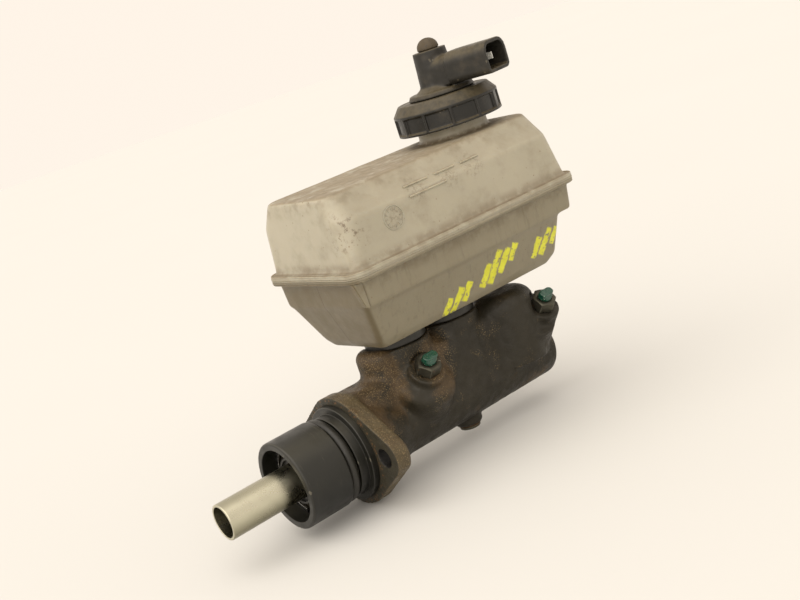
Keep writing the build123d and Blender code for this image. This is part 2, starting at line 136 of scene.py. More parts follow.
class Surface:
    """A fine, even copy of a CAD node that is shaped in millimetres before it becomes a piece."""

    def __init__(self, node, voxel):
        build = bmesh.new()
        build.from_mesh(frame["nodes"][node].data)
        bmesh.ops.scale(build, vec=(1 / MM,) * 3, verts=build.verts)
        bmesh.ops.remove_doubles(build, verts=build.verts, dist=0.001)
        coarse = bpy.data.meshes.new(node + "_coarse")
        build.to_mesh(coarse)
        build.free()
        holder = bpy.data.objects.new(node + "_holder", coarse)
        bpy.context.scene.collection.objects.link(holder)
        even = holder.modifiers.new("even", "REMESH")
        even.mode = "VOXEL"
        even.voxel_size = voxel
        graph = bpy.context.evaluated_depsgraph_get()
        self.mesh = bpy.data.meshes.new_from_object(holder.evaluated_get(graph))
        bpy.data.objects.remove(holder)
        bpy.data.meshes.remove(coarse)
        self.node = node
        self.count = len(self.mesh.vertices)
        flat = np.empty(self.count * 3)
        self.mesh.vertices.foreach_get("co", flat)
        self.points = flat.reshape(-1, 3)
        ends = np.empty(len(self.mesh.edges) * 2, np.int32)
        self.mesh.edges.foreach_get("vertices", ends)
        self.ends = ends.reshape(-1, 2)
        self.degree = np.bincount(self.ends.ravel(), minlength=self.count)

    def pull(self):
        """For each point, the way to the middle of its neighbours."""
        first, second = self.ends.T
        total = np.empty_like(self.points)
        for axis in range(3):
            value = self.points[:, axis]
            total[:, axis] = np.bincount(first, value[second], self.count)
            total[:, axis] += np.bincount(second, value[first], self.count)
        return total / self.degree[:, None] - self.points

    def normals(self):
        self.mesh.vertices.foreach_set("co", self.points.ravel())
        self.mesh.update()
        flat = np.empty(self.count * 3)
        self.mesh.vertex_normals.foreach_get("vector", flat)
        return flat.reshape(-1, 3)

    def relax(self, passes, weight=1.0):
        """Rounds every edge a little."""
        for _ in range(passes):
            self.points = self.points + 0.5 * self.pull() * np.reshape(weight, (-1, 1))

    def fill_corners(self, passes, weight=1.0):
        """Fills inside corners with soft blends and leaves outside edges alone."""
        for step in range(passes):
            if step % 5 == 0:
                normal = self.normals()
            pull = self.pull()
            outward = np.maximum((pull * normal).sum(1), 0) * np.reshape(weight, -1)
            self.points = self.points + 0.6 * outward[:, None] * normal

    def push(self, distance):
        """Moves each point along its normal by its own distance."""
        self.points = self.points + self.normals() * np.reshape(distance, (-1, 1))

    def grain(self, size, seed):
        """Smooth noise from -1 to 1 at every point, with features of about that size."""
        spots = self.points / size + seed
        return np.array([noise.noise(Vector(spot)) for spot in spots])

    def piece(self, name, body, slot):
        """Writes the shape back in metres as a piece that stands for the CAD node."""
        self.mesh.vertices.foreach_set("co", (self.points * MM).ravel())
        self.mesh.update()
        smooth(self.mesh)
        made = add_object(name, self.mesh, slot)
        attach(made, body)
        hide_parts(self.node)


def smooth(mesh):
    for face in mesh.polygons:
        face.use_smooth = True


def add_object(name, mesh, slot):
    """Puts a mesh in the scene with its slot's finish."""
    mesh.name = name
    made = bpy.data.objects.new(name, mesh)
    bpy.context.scene.collection.objects.link(made)
    mesh.materials.clear()
    mesh.materials.append(materials[slot])
    return made


def near(value, centre, width):
    """A bell from 0 to 1 around one value."""
    return np.exp(-(((value - centre) / width) ** 2))


def outside(distance, edge, soft):
    """0 inside an edge and 1 beyond it, with a soft step."""
    return np.clip((distance - edge) / soft, 0, 1)


def round_x(points, y=0.0, z=0.0):
    """Distance from an axis along X."""
    return np.hypot(points[:, 1] - y, points[:, 2] - z)


def round_z(points, x, y=0.0):
    """Distance from an axis along Z."""
    return np.hypot(points[:, 0] - x, points[:, 1] - y)


def round_port(points, x):
    """Distance from an outlet's axis, and the distance out along it."""
    out = -points[:, 1] * cos(port_tilt) + points[:, 2] * sin(port_tilt)
    side = points[:, 1] * sin(port_tilt) + points[:, 2] * cos(port_tilt)
    return np.hypot(points[:, 0] - x, side), out


# ---- turned pieces ---------------------------------------------------------------------------

def rounded_outline(corners, steps=5):
    """A closed outline of (along, radius, rounding) corners with each corner rounded off."""
    made = []
    for i, (along, radius, rounding) in enumerate(corners):
        here = Vector((along, radius))
        before = Vector(corners[i - 1][:2]) - here
        after = Vector(corners[(i + 1) % len(corners)][:2]) - here
        if rounding <= 0:
            made.append(here)
            continue
        reach = min(rounding, before.length * 0.48, after.length * 0.48)
        start = here + before.normalized() * reach
        end = here + after.normalized() * reach
        for k in range(steps + 1):
            t = k / steps
            made.append(start * (1 - t) ** 2 + here * 2 * t * (1 - t) + end * t * t)
    return made


def hard_piece(name, rings, slot, body, replaced):
    """A piece skinned through a loop of equal rings of points, standing for one CAD node."""
    build = bmesh.new()
    loops = [[build.verts.new(Vector(spot) * MM) for spot in ring] for ring in rings]
    for k, loop in enumerate(loops):
        following = loops[(k + 1) % len(loops)]
        for i in range(len(loop)):
            j = (i + 1) % len(loop)
            build.faces.new((loop[i], loop[j], following[j], following[i]))
    bmesh.ops.recalc_face_normals(build, faces=build.faces)
    mesh = bpy.data.meshes.new(name)
    build.to_mesh(mesh)
    build.free()
    smooth(mesh)
    made = add_object(name, mesh, slot)
    made.modifiers.new("flat_faces", "WEIGHTED_NORMAL")
    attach(made, body)
    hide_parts(replaced)


def turned(name, corners, slot, body, replaced, upright=None, segments=160):
    """A ring-shaped or hollow turned piece round the bore axis, or round Z at the x given."""
    outline = rounded_outline(corners)
    rings = []
    for k in range(segments):
        angle = 2 * pi * k / segments
        if upright is None:
            ring = [(along, radius * cos(angle), radius * sin(angle)) for along, radius in outline]
        else:
            ring = [(upright + radius * cos(angle), radius * sin(angle), along) for along, radius in outline]
        rings.append(ring)
    hard_piece(name, rings, slot, body, replaced)


# ---- swept beads -----------------------------------------------------------------------------

def bead(name, path, radius, slot, body, closed=False):
    """A thin rounded bead along a path given in millimetres."""
    curve = bpy.data.curves.new(name, "CURVE")
    curve.dimensions = "3D"
    curve.bevel_depth = radius * MM
    curve.bevel_resolution = 3
    curve.use_fill_caps = not closed
    line = curve.splines.new("POLY")
    line.points.add(len(path) - 1)
    for point, place in zip(line.points, path):
        point.co = (*(Vector(place) * MM), 1)
    line.use_cyclic_u = closed
    holder = bpy.data.objects.new(name + "_path", curve)
    bpy.context.scene.collection.objects.link(holder)
    graph = bpy.context.evaluated_depsgraph_get()
    mesh = bpy.data.meshes.new_from_object(holder.evaluated_get(graph))
    bpy.data.objects.remove(holder)
    smooth(mesh)
    made = add_object(name, mesh, slot)
    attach(made, body)
    return made


def rounded_rectangle(x0, x1, half_width, corner, z, steps=8):
    """Points round a level rectangle with rounded corners."""
    path = []
    centres = (
        (x1 - corner, half_width - corner, 0),
        (x0 + corner, half_width - corner, 90),
        (x0 + corner, corner - half_width, 180),
        (x1 - corner, corner - half_width, 270),
    )
    for x, y, start in centres:
        for k in range(steps + 1):
            angle = radians(start + 90 * k / steps)
            path.append((x + corner * cos(angle), y + corner * sin(angle), z))
    return path


# ---- materials -------------------------------------------------------------------------------

class Finish:
    """One procedural material, with its pattern nodes laid in the part's own frame."""

    def __init__(self, name, roughness=0.5, metallic=0.0, **sockets):
        self.material = bpy.data.materials.new(name)
        self.material.use_nodes = True
        self.tree = self.material.node_tree
        self.tree.nodes.clear()
        self.shader = self.tree.nodes.new("ShaderNodeBsdfPrincipled")
        output = self.tree.nodes.new("ShaderNodeOutputMaterial")
        self.tree.links.new(self.shader.outputs[0], output.inputs["Surface"])
        self.shader.inputs["Roughness"].default_value = roughness
        self.shader.inputs["Metallic"].default_value = metallic
        for socket, value in sockets.items():
            self.shader.inputs[socket.replace("_", " ")].default_value = value
        where = self.tree.nodes.new("ShaderNodeTexCoord")
        self.place = where.outputs["Object"]
        split = self.tree.nodes.new("ShaderNodeSeparateXYZ")
        self.tree.links.new(self.place, split.inputs[0])
        self.x, self.y, self.z = split.outputs
        self.geometry = self.tree.nodes.new("ShaderNodeNewGeometry")
        lean = self.tree.nodes.new("ShaderNodeSeparateXYZ")
        self.tree.links.new(self.geometry.outputs["Normal"], lean.inputs[0])
        self.facing_x, self.facing_y, self.facing_up = lean.outputs
        self.edge = self.geometry.outputs["Pointiness"]

    def feed(self, socket, value):
        if isinstance(value, bpy.types.NodeSocket):
            self.tree.links.new(value, socket)
        else:
            socket.default_value = value

    def sum(self, operation, *values):
        node = self.tree.nodes.new("ShaderNodeMath")
        node.operation = operation
        for socket, value in zip(node.inputs, values):
            self.feed(socket, value)
        return node.outputs[0]

    def both(self, *values):
        """Several masks at once: their product."""
        made = values[0]
        for value in values[1:]:
            made = self.sum("MULTIPLY", made, value)
        return made

    def either(self, *values):
        """Any of several masks: the largest."""
        made = values[0]
        for value in values[1:]:
            made = self.sum("MAXIMUM", made, value)
        return made

    def step(self, value, start, end, low=0.0, high=1.0):
        """Maps value from start..end to low..high with a soft step."""
        node = self.tree.nodes.new("ShaderNodeMapRange")
        node.interpolation_type = "SMOOTHSTEP"
        self.feed(node.inputs["Value"], value)
        for name, number in (("From Min", start), ("From Max", end), ("To Min", low), ("To Max", high)):
            node.inputs[name].default_value = number
        return node.outputs["Result"]

    def past(self, value, start, end):
        """0 at one place and 1 at another, with a soft step; both places are in millimetres."""
        return self.step(value, start * MM, end * MM)

    def band(self, value, centre, width):
        """1 at a value and 0 further than width from it; both in millimetres."""
        away = self.sum("ABSOLUTE", self.sum("SUBTRACT", value, centre * MM))
        return self.past(away, width, 0.0)

    def axis_distance(self, a, b, centre_a=0.0, centre_b=0.0):
        """Distance from an axis in metres; the centres are in millimetres."""
        first = self.sum("SUBTRACT", a, centre_a * MM)
        second = self.sum("SUBTRACT", b, centre_b * MM)
        squares = self.sum("ADD", self.sum("MULTIPLY", first, first), self.sum("MULTIPLY", second, second))
        return self.sum("SQRT", squares)

    def noise(self, size, detail=4.0, roughness=0.55, stretch=(1, 1, 1), shift=0.0, warp=0.0):
        """Noise from 0 to 1 with features of about size millimetres."""
        scaled = self.tree.nodes.new("ShaderNodeVectorMath")
        scaled.operation = "MULTIPLY_ADD"
        self.feed(scaled.inputs[0], self.place)
        scaled.inputs[1].default_value = [1 / (size * MM * part) for part in stretch]
        scaled.inputs[2].default_value = (shift, shift * 1.7, shift * 0.6)
        node = self.tree.nodes.new("ShaderNodeTexNoise")
        node.inputs["Scale"].default_value = 1.0
        node.inputs["Detail"].default_value = detail
        node.inputs["Roughness"].default_value = roughness
        node.inputs["Distortion"].default_value = warp
        self.feed(node.inputs["Vector"], scaled.outputs[0])
        return node.outputs["Fac"]

    def patchy(self, low, high, size, detail=4.0, shift=3):
        """A value that drifts from low to high in patches of about size millimetres."""
        return self.step(self.noise(size, detail, shift=shift), 0.3, 0.7, low, high)

    def specks(self, size, fill, shift=0.0):
        """Scattered small round spots: 1 in a spot and 0 elsewhere."""
        scaled = self.tree.nodes.new("ShaderNodeVectorMath")
        scaled.operation = "MULTIPLY_ADD"
        self.feed(scaled.inputs[0], self.place)
        scaled.inputs[1].default_value = (1 / (size * MM),) * 3
        scaled.inputs[2].default_value = (shift,) * 3
        node = self.tree.nodes.new("ShaderNodeTexVoronoi")
        node.inputs["Scale"].default_value = 1.0
        self.feed(node.inputs["Vector"], scaled.outputs[0])
        return self.step(node.outputs["Distance"], fill, fill * 0.5)

    def blend(self, amount, first, second):
        """A colour that goes from first to second."""
        node = self.tree.nodes.new("ShaderNodeMix")
        node.data_type = "RGBA"
        self.feed(node.inputs["Factor"], amount)
        for socket, value in ((node.inputs[6], first), (node.inputs[7], second)):
            self.feed(socket, value if isinstance(value, bpy.types.NodeSocket) else (*value, 1))
        return node.outputs[2]

    def colour(self, value):
        self.feed(self.shader.inputs["Base Color"], value)

    def rough(self, value):
        self.feed(self.shader.inputs["Roughness"], value)

    def bump(self, *layers):
        """Each layer is a height from 0 to 1 and its depth in millimetres."""
        normal = None
        for height, depth in layers:
            node = self.tree.nodes.new("ShaderNodeBump")
            node.inputs["Strength"].default_value = 1.0
            node.inputs["Distance"].default_value = depth * MM
            self.feed(node.inputs["Height"], height)
            if normal is not None:
                self.feed(node.inputs["Normal"], normal)
            normal = node.outputs[0]
        self.feed(self.shader.inputs["Normal"], normal)


def cast_iron():
    """Black-painted casting with rust and dust, and a bare machined face on the servo side."""
    f = Finish("cast_iron_body", Specular_IOR_Level=0.38)
    black = f.blend(f.noise(22, 5), (0.0075, 0.0060, 0.0030), (0.026, 0.021, 0.0105))
    cloud = f.noise(17, 6, 0.6, warp=0.4)
    rear_port = f.past(f.axis_distance(f.x, f.z, 50, 24), 22, 6)
    near_lug = f.both(f.past(f.x, 40, 26), f.past(f.z, 4, 20))
    flange_back = f.past(f.x, 21, 9)
    rusty = f.either(rear_port, near_lug, flange_back)
    rust_mask = f.step(f.sum("MULTIPLY_ADD", rusty, 0.30, cloud), 0.61, 0.80)
    rust = f.blend(f.noise(3, 5), (0.038, 0.022, 0.009), (0.120, 0.074, 0.030))
    surface = f.blend(f.both(rust_mask, 0.7), black, rust)
    tan = f.blend(f.noise(4, 7, 0.65), (0.024, 0.017, 0.008), (0.125, 0.094, 0.046))
    on_rim = f.both(f.past(f.x, 9.8, 7.6), f.step(f.noise(11, 5, shift=4), 0.30, 0.46))
    surface = f.blend(on_rim, surface, tan)
    dust_top = f.both(f.step(f.facing_up, 0.55, 0.95), f.step(f.noise(7, 5, shift=2), 0.42, 0.7))
    surface = f.blend(f.both(dust_top, 0.4), surface, (0.070, 0.050, 0.028))
    dense = f.step(f.sum("MULTIPLY_ADD", rusty, 0.22, f.noise(9, 4, shift=7)), 0.52, 0.74)
    crumbs = f.both(f.either(f.specks(1.1, 0.32), f.specks(0.6, 0.34, 9)), dense)
    surface = f.blend(f.both(crumbs, 0.7), surface, (0.24, 0.170, 0.080))
    face = f.both(f.past(f.x, 0.9, 0.4), f.step(f.facing_x, -0.6, -0.85))
    face_colour = f.blend(f.noise(6, 6, shift=9), (0.012, 0.012, 0.008), (0.050, 0.042, 0.024))
    surface = f.blend(face, surface, face_colour)
    ring_edge = f.both(face, f.band(f.axis_distance(f.y, f.z), 25.2, 2.4), f.specks(1.6, 0.42, 5))
    surface = f.blend(f.both(ring_edge, 0.8), surface, (0.17, 0.085, 0.035))
    for side in (-1, 1):
        from_stud = f.axis_distance(f.y, f.z, side * ear_offset)
        # Painted shade: near black inside the stud holes.
        hole = f.past(from_stud, stud_hole_radius + 0.3, stud_hole_radius + 0.1)
        surface = f.blend(hole, surface, (0.006, 0.005, 0.004))
    worn = f.step(f.edge, 0.54, 0.60)
    surface = f.blend(f.both(worn, 0.5, f.past(f.x, 12, 6)), surface, (0.20, 0.16, 0.095))
    f.colour(surface)
    f.rough(f.patchy(0.40, 0.68, 5, 5))
    f.bump((f.noise(3.2, 4, 0.6), 0.28), (f.noise(0.9, 4, 0.65), 0.20), (crumbs, 0.12))
    return f.material


def satin_black():
    """Black sleeve with fine turning marks and rub marks, a painted highlight where it faces up at a slant
    and painted shade on its underside.
    """
    f = Finish("black_sleeve", Specular_IOR_Level=0.45)
    rings = f.noise(0.35, 3, 0.6, stretch=(1, 60, 60))
    rubs = f.step(f.noise(1.3, 3, 0.7, stretch=(1, 7, 7), shift=5), 0.60, 0.74)
    base = f.blend(f.noise(14, 5), (0.008, 0.008, 0.006), (0.017, 0.016, 0.011))
    base = f.blend(f.both(rubs, 0.30), base, (0.075, 0.068, 0.050))
    # Painted highlight: lighter where the surface faces up at a slant.
    painted_highlight = f.both(f.step(f.facing_up, 0.45, 0.80), f.step(f.facing_up, 1.0, 0.85))
    base = f.blend(f.both(painted_highlight, 0.30), base, (0.075, 0.070, 0.052))
    # Painted shade: darker towards the underside.
    base = f.blend(f.step(f.facing_up, 0.35, -0.5, 0.0, 0.75), base, (0.003, 0.003, 0.002))
    worn = f.step(f.edge, 0.52, 0.58)
    base = f.blend(f.both(worn, 0.6), base, (0.15, 0.135, 0.10))
    f.colour(base)
    f.rough(f.patchy(0.32, 0.48, 6, 5, shift=2))
    f.bump((rings, 0.012), (f.noise(2.4, 3), 0.02))
    return f.material


def tube_steel():
    """Satin push tube, slightly olive, with fine turning marks and painted shade on its underside and along
    its top, which leaves a lighter band between as a painted highlight.
    """
    f = Finish("push_tube_steel", metallic=1.0)
    rings = f.noise(0.12, 2, 0.6, stretch=(1, 80, 80))
    tint_and_shade = f.blend(f.noise(9, 4), (0.52, 0.50, 0.38), (0.66, 0.63, 0.49))
    # Painted shade: darker on the underside and along the top, leaving a painted highlight band between.
    shaded = f.either(f.step(f.facing_up, 0.25, -0.75), f.step(f.facing_up, 0.70, 1.0, 0.0, 0.55))
    tint_and_shade = f.blend(f.both(shaded, 0.8), tint_and_shade, (0.19, 0.175, 0.115))
    f.colour(f.blend(f.both(f.specks(4, 0.07), 0.8), tint_and_shade, (0.10, 0.07, 0.04)))
    f.rough(f.patchy(0.24, 0.34, 7, 4))
    f.bump((rings, 0.004), (f.noise(1.2, 3), 0.003))
    return f.material


def metal(name, dark, light, low, high, grain=0.5, depth=0.01, metallic=1.0):
    """Plain metal with a soft change of tone and a fine grain."""
    f = Finish(name, metallic=metallic)
    tone = f.blend(f.noise(6, 5), dark, light)
    f.colour(f.blend(f.step(f.edge, 0.53, 0.60), tone, [min(1, part * 1.7) for part in light]))
    f.rough(f.patchy(low, high, 4, 5))
    f.bump((f.noise(grain, 3), depth))
    return f.material


def dull(name, dark, light, low, high, size=4.0, grain=0.6, depth=0.03):
    """Rubber, plastic or foam with soft mottling."""
    f = Finish(name)
    f.colour(f.blend(f.noise(size, 5), dark, light))
    f.rough(f.patchy(low, high, size * 0.7, 4))
    f.bump((f.noise(grain, 3), depth))
    return f.material


def rubber():
    """Black rubber, with brown dust where it is exposed on top of the sensor."""
    f = Finish("rubber")
    plain = f.blend(f.noise(4, 5), (0.007, 0.007, 0.005), (0.022, 0.020, 0.015))
    exposed = f.both(f.past(f.z, 150, 155), f.step(f.noise(3, 5, shift=8), 0.15, 0.55))
    f.colour(f.blend(f.both(exposed, 0.8), plain, (0.085, 0.062, 0.034)))
    f.rough(f.sum("ADD", f.patchy(0.34, 0.52, 2.8, 4), f.both(exposed, 0.3)))
    f.bump((f.noise(0.6, 3), 0.03))
    return f.material


# Plain strokes of marker paint: x and z of the middle, slant in degrees, half length, half width.
paint_strokes = (
    (61, 46, 66, 4.5, 2.2),
    (67, 47, 62, 6.5, 2.5),
    (73, 49, 64, 5.0, 2.2),
    (85, 52, 63, 6.0, 2.4),
    (91, 54, 65, 8.5, 2.6),
    (97, 55, 62, 6.5, 2.4),
    (103, 57, 66, 4.5, 2.2),
    (119, 53, 64, 5.5, 2.3),
    (125, 54, 62, 7.0, 2.5),
    (131, 55, 65, 4.5, 2.1),
)


def paint_dabs(f):
    """Plain slanted dabs of marker paint on the near face of the lower moulding."""
    uneven = f.both(f.sum("SUBTRACT", f.noise(5, 3, shift=13), 0.5), 0.0030)
    dabs = 0.0
    for x, z, slant, length, width in paint_strokes:
        right = f.sum("SUBTRACT", f.x, x * MM)
        rise = f.sum("SUBTRACT", f.z, z * MM)
        level, steep = cos(radians(slant)), sin(radians(slant))
        along = f.sum("ADD", f.both(right, level), f.both(rise, steep))
        across = f.sum("SUBTRACT", f.both(rise, level), f.both(right, steep))
        across = f.sum("ABSOLUTE", f.sum("ADD", across, uneven))
        inside = f.past(across, width, 0.6 * width)
        dab = f.both(inside, f.past(f.sum("ABSOLUTE", along), length, 0.85 * length))
        dabs = f.sum("MAXIMUM", dabs, dab)
    return dabs


def reservoir_plastic():
    """Aged translucent off-white plastic with brown dust on its upper faces and ledges."""
    f = Finish("reservoir_plastic", Subsurface_Weight=0.35, Subsurface_Scale=0.004, IOR=1.46)
    f.shader.inputs["Subsurface Radius"].default_value = (1.0, 0.8, 0.55)
    plastic_and_painted_light = f.blend(f.noise(45, 4, shift=1), (0.31, 0.285, 0.215), (0.44, 0.40, 0.305))
    lower = f.past(f.z, seam_z + 1, seam_z - 2)
    plastic_and_painted_light = f.blend(f.both(lower, 0.8), plastic_and_painted_light, (0.180, 0.156, 0.100))
    # Painted light: the upper moulding's end towards -X is lighter.
    painted_lit_end = f.both(f.past(f.x, 22, 15), f.past(f.z, 80, 86))
    plastic_and_painted_light = f.blend(f.both(painted_lit_end, 0.6), plastic_and_painted_light, (0.44, 0.405, 0.315))
    low_end = f.both(f.step(f.facing_x, -0.35, -0.7), lower)
    plastic_and_painted_light = f.blend(f.both(low_end, 0.9), plastic_and_painted_light, (0.120, 0.096, 0.055))
    film = f.both(f.step(f.noise(13, 6, 0.62, shift=6), 0.44, 0.76), 0.42)
    surface = f.blend(film, plastic_and_painted_light, (0.195, 0.165, 0.110))
    streaks = f.both(f.step(f.noise(2.6, 5, 0.65, stretch=(1, 1, 7), shift=17), 0.50, 0.74), lower)
    surface = f.blend(f.both(streaks, 0.35), surface, (0.110, 0.086, 0.050))
    # Painted shadow: a darker band just under the seam's flange, broken up by noise.
    shadow_under_seam = f.both(f.band(f.z, seam_z - 4.5, 5), f.step(f.noise(5, 5, shift=18), 0.36, 0.62))
    surface = f.blend(f.both(shadow_under_seam, 0.45), surface, (0.120, 0.088, 0.048))
    upward = f.step(f.facing_up, 0.45, 0.95)
    settled = f.both(upward, f.step(f.noise(8, 7, 0.65, warp=0.5), 0.20, 0.55))
    dust = f.blend(f.noise(4, 5, shift=2), (0.115, 0.082, 0.045), (0.32, 0.265, 0.180))
    surface = f.blend(f.both(settled, 0.85), surface, dust)
    above_seam = f.both(f.band(f.z, seam_z + 3.2, 4.5), f.step(f.noise(6, 5, shift=8), 0.34, 0.6))
    surface = f.blend(f.both(above_seam, 0.5), surface, (0.165, 0.120, 0.070))
    top_edge = f.both(f.band(f.z, upper_top - 1.7, 7), f.step(f.noise(7, 6, shift=12), 0.45, 0.68))
    surface = f.blend(f.both(top_edge, 0.5), surface, (0.18, 0.142, 0.09))
    neck_foot = f.both(f.past(f.axis_distance(f.x, f.y, neck_x), 27, 17), f.past(f.z, 108, 113))
    neck_foot = f.both(neck_foot, f.past(f.z, 117.5, 116), f.step(f.noise(3, 5, shift=19), 0.30, 0.55))
    surface = f.blend(f.both(neck_foot, 0.7), surface, (0.105, 0.072, 0.038))
    smudge_at = f.axis_distance(f.x, f.z, 17, 98)
    smudge = f.both(f.past(smudge_at, 13, 1), f.step(f.noise(2.6, 5, 0.7, shift=5), 0.52, 0.66))
    smudge = f.both(smudge, f.past(f.y, -20, -30))
    surface = f.blend(f.both(smudge, 0.8), surface, (0.10, 0.058, 0.026))
    hairline = f.both(f.band(f.y, 1.0, 0.35), f.past(f.x, 30, 25), lower)
    surface = f.blend(f.both(hairline, 0.8), surface, (0.05, 0.032, 0.018))
    freckles = f.both(f.specks(3.4, 0.13, 3), f.step(f.noise(10, 3, shift=11), 0.44, 0.6))
    surface = f.blend(f.both(freckles, 0.7), surface, (0.16, 0.10, 0.05))
    for x, z, reach in ((40.7, 96.6, 7), (57, 104, 8), (76, 103, 7), (91, 104, 8)):
        stain = f.past(f.axis_distance(f.x, f.z, x, z), reach, 0.4 * reach)
        stain = f.both(stain, f.step(f.noise(1.6, 5, 0.7, shift=x), 0.46, 0.66), f.past(f.y, 0, -20))
        surface = f.blend(f.both(stain, 0.45), surface, (0.13, 0.095, 0.055))
    # Painted shade, in a dirt-brown tone: darker where the surface is concave.
    crease_shade = f.step(f.edge, 0.485, 0.455)
    surface = f.blend(f.both(crease_shade, 0.6), surface, (0.17, 0.115, 0.062))
    paint = f.blend(f.noise(4, 5, shift=9), (0.52, 0.50, 0.012), (0.85, 0.86, 0.050))
    patchy = f.both(f.step(f.noise(1.8, 5, shift=10), 0.68, 0.55), f.step(f.facing_y, -0.4, -0.7), 0.92)
    surface = f.blend(f.both(paint_dabs(f), patchy), surface, paint)
    f.colour(surface)
    f.rough(f.sum("ADD", f.patchy(0.36, 0.50, 6, 5, shift=4), f.both(settled, 0.25)))
    scratches = f.noise(1.0, 2, 0.5, stretch=(22, 3, 1), shift=14)
    f.bump((f.noise(18, 3), 0.12), (f.noise(1.4, 4, 0.6), 0.03), (f.step(scratches, 0.66, 0.7), 0.03))
    return f.material


def cap_plastic():
    """Charcoal moulded plastic with olive-brown dust on everything that faces up."""
    f = Finish("cap_plastic", Specular_IOR_Level=0.42)
    base = f.blend(f.noise(12, 5), (0.008, 0.0072, 0.0052), (0.019, 0.0165, 0.0115))
    on_ring = f.both(f.past(f.z, 132, 130.5), f.step(f.facing_up, 0.3, 0.1))
    base = f.blend(f.both(on_ring, 0.6), base, (0.005, 0.005, 0.004))
    upward = f.step(f.facing_up, 0.10, 0.8)
    powder = f.both(upward, f.step(f.noise(5, 6, 0.65), 0.20, 0.56))
    dust = f.blend(f.noise(2.0, 6, 0.65, shift=5), (0.040, 0.031, 0.015), (0.145, 0.115, 0.062))
    surface = f.blend(f.both(powder, 0.75), base, dust)
    film = f.step(f.noise(7, 6, shift=3), 0.48, 0.75)
    surface = f.blend(f.both(film, 0.28), surface, (0.080, 0.064, 0.042))
    worn = f.step(f.edge, 0.525, 0.58)
    surface = f.blend(f.both(worn, 0.5), surface, (0.13, 0.11, 0.075))
    f.colour(surface)
    gloss = f.patchy(0.40, 0.60, 4, 5)
    f.rough(f.sum("SUBTRACT", gloss, f.both(on_ring, 0.14)))
    f.bump((f.noise(2.2, 4), 0.07), (f.noise(0.5, 3), 0.03))
    return f.material


def pipe_green():
    """Glossy green coating on the pipe stubs, worn at the pinched edges."""
    f = Finish("pipe_green", Coat_Weight=0.6, Coat_Roughness=0.12)
    tone = f.blend(f.noise(2.5, 4), (0.001, 0.026, 0.015), (0.005, 0.080, 0.046))
    worn = f.both(f.step(f.edge, 0.545, 0.62), f.step(f.noise(1.2, 3, shift=3), 0.40, 0.62))
    f.colour(f.blend(f.both(worn, 0.85), tone, (0.40, 0.62, 0.45)))
    f.rough(f.patchy(0.18, 0.34, 2, 3))
    f.bump((f.noise(1.5, 3), 0.08), (f.noise(0.4, 2), 0.02))
    return f.material


def nut_steel():
    """Dark plated hexagon with bright worn edges."""
    f = Finish("nut_steel", metallic=0.75)
    tone = f.blend(f.noise(3, 5), (0.028, 0.027, 0.020), (0.115, 0.108, 0.080))
    rust = f.both(f.step(f.noise(2.2, 4, shift=6), 0.60, 0.72), 0.7)
    tone = f.blend(rust, tone, (0.14, 0.075, 0.035))
    f.colour(f.blend(f.step(f.edge, 0.56, 0.64), tone, (0.60, 0.58, 0.47)))
    f.rough(f.patchy(0.30, 0.50, 2, 4))
    f.bump((f.noise(1.0, 3), 0.03))
    return f.material


materials = {
    "cast_iron_body": cast_iron(),
    "black_sleeve": satin_black(),
    "push_tube_steel": tube_steel(),
    "steel": metal("steel", (0.035, 0.030, 0.022), (0.115, 0.100, 0.072), 0.38, 0.55),
    "piston_aluminium": metal("piston_aluminium", (0.55, 0.54, 0.52), (0.72, 0.71, 0.69), 0.25, 0.38),
    "spring_steel": metal("spring_steel", (0.10, 0.10, 0.10), (0.32, 0.31, 0.29), 0.22, 0.35),
    "rubber": rubber(),
    "bush_plastic": dull("bush_plastic", (0.010, 0.010, 0.009), (0.030, 0.028, 0.024), 0.30, 0.50),
    "reservoir_plastic": reservoir_plastic(),
    "cap_plastic": cap_plastic(),
    "terminal_brass": metal(
        "terminal_brass", (0.80, 0.52, 0.36), (0.95, 0.72, 0.55), 0.30, 0.45, metallic=0.35
    ),
    "pipe_green": pipe_green(),
    "nut_steel": nut_steel(),
    "copper_washer": metal("copper_washer", (0.018, 0.012, 0.007), (0.045, 0.028, 0.016), 0.5, 0.65),
    "float_foam": dull("float_foam", (0.12, 0.11, 0.10), (0.24, 0.23, 0.21), 0.7, 0.9, grain=0.8, depth=0.1),
}


# ---- casting ---------------------------------------------------------------------------------

def casting():
    """The iron body: soft blends at inside corners, a sandy skin and a moulding line."""
    fine_voxel = 0.55
    voxel = fine_voxel
    body = Surface("cylinder_body", voxel)
    points = body.points
    # keep is 0 on the bored, drilled and machined faces, which stay true, and 1 on the cast skin.
    mouth_rim, stud_rim, inlet_rim, port_rim = 15.2, stud_hole_radius + 0.6, 12.2, 8.4
    keep = outside(round_x(points), mouth_rim, 0.8)
    for side in (-1, 1):
        keep = keep * outside(round_x(points, side * ear_offset), stud_rim, 0.8)
    for x in inlet_positions.values():
        keep = keep * outside(round_z(points, x), inlet_rim, 0.8)
    for x in port_positions.values():
        away, out = round_port(points, x)
        keep = keep * np.maximum(outside(away, port_rim, 0.6), outside(-out, -port_face + 1.5, 1.0))
    keep = keep * outside(points[:, 0], 0.8, 0.6)
    # A coarser mesh reaches as far with fewer passes.
    body.fill_corners(int(34 * (fine_voxel / voxel) ** 2) + 8, keep)
    body.relax(6, 0.35 + 0.65 * keep)
    points = body.points
    skin = 0.10 * body.grain(5.0, 3.1) + 0.05 * body.grain(1.7, 8.4)
    parting_z = -1.5
    flash = near(points[:, 2], parting_z, 0.7) * outside(points[:, 0], 34, 6)
    flash = flash * outside(-points[:, 1], 10, 2)
    body.push((skin + 0.22 * flash - 0.05) * keep)
    body.piece("casting", "housing", "cast_iron_body")


# ---- sleeve end ------------------------------------------------------------------------------

